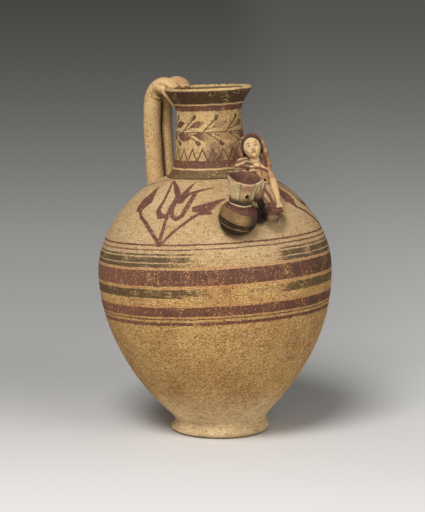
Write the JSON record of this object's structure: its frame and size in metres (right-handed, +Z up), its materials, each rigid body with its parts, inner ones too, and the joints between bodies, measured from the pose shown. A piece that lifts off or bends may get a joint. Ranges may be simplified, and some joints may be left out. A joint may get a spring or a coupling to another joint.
{
  "type": "terracotta jug",
  "caption": "Painted terracotta jug with an ovoid body, a trumpet neck, a double-roll handle and, on the shoulder, a modelled woman holding a small jug as the spout.",
  "frame": {"origin": "centre of the foot's flat underside, on the surface the jug stands on", "axes": "+Z up, +X towards the small jug and the woman on the shoulder, -X towards the handle, +Y to the left of the spout as seen from behind the handle"},
  "size_m": [0.2225, 0.2228, 0.3368],
  "materials": {
    "buff_clay": "matt fired buff-orange clay with worn red-brown and black-brown painted bands",
    "pale_clay": "matt fired clay with a pale cream wash and worn painted stripes",
    "red_painted_clay": "matt fired clay under worn dark red-brown paint"
  },
  "bodies": {
    "root": {"foot": "buff_clay", "lower_body": "buff_clay", "upper_body": "buff_clay", "neck": "buff_clay", "handle_left_roll": "buff_clay", "handle_right_roll": "buff_clay", "handle_strap": "buff_clay", "small_jug_body": "pale_clay", "small_jug_neck": "pale_clay", "small_jug_grip": "pale_clay", "figure_torso": "pale_clay", "figure_hem": "red_painted_clay", "figure_head": "pale_clay", "figure_right_arm": "pale_clay", "figure_left_arm": "pale_clay", "figure_mantle": "red_painted_clay"}
  },
  "joints": []
}
